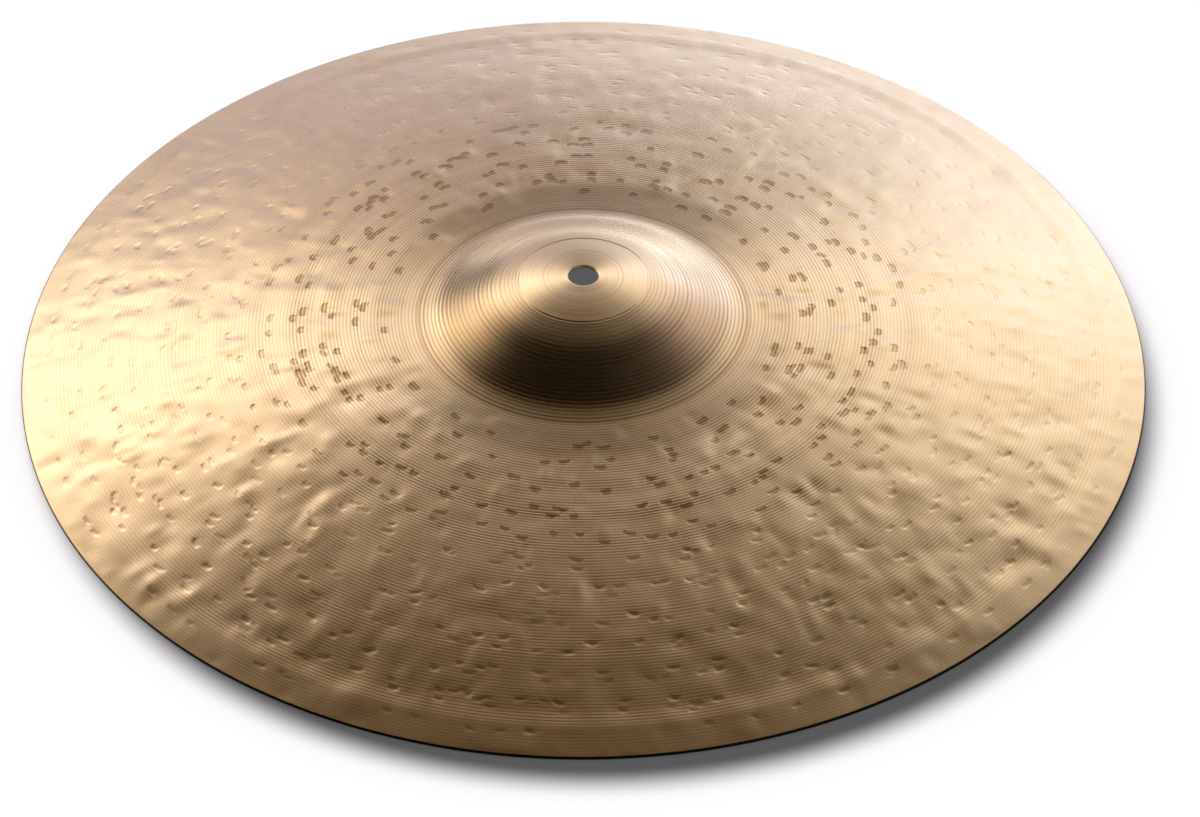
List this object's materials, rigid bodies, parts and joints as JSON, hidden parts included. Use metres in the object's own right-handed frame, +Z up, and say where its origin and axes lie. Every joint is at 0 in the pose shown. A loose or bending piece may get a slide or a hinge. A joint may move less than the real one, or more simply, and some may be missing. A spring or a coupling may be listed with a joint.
{
  "type": "crash cymbal",
  "caption": "Round bronze cymbal plate with a raised bell, a gently arched bow, a thin flat edge band and a centre hole for a stand's rod.",
  "frame": {"origin": "centre of the rim circle, on the plane the rim rests on", "axes": "+Z up along the hole and out through the top of the bell; the plate is round about Z"},
  "size_m": [0.4826, 0.4826, 0.0462],
  "materials": {
    "bronze": "lathed and hammered, satin"
  },
  "bodies": {
    "root": {"cymbal": "bronze"}
  },
  "joints": []
}
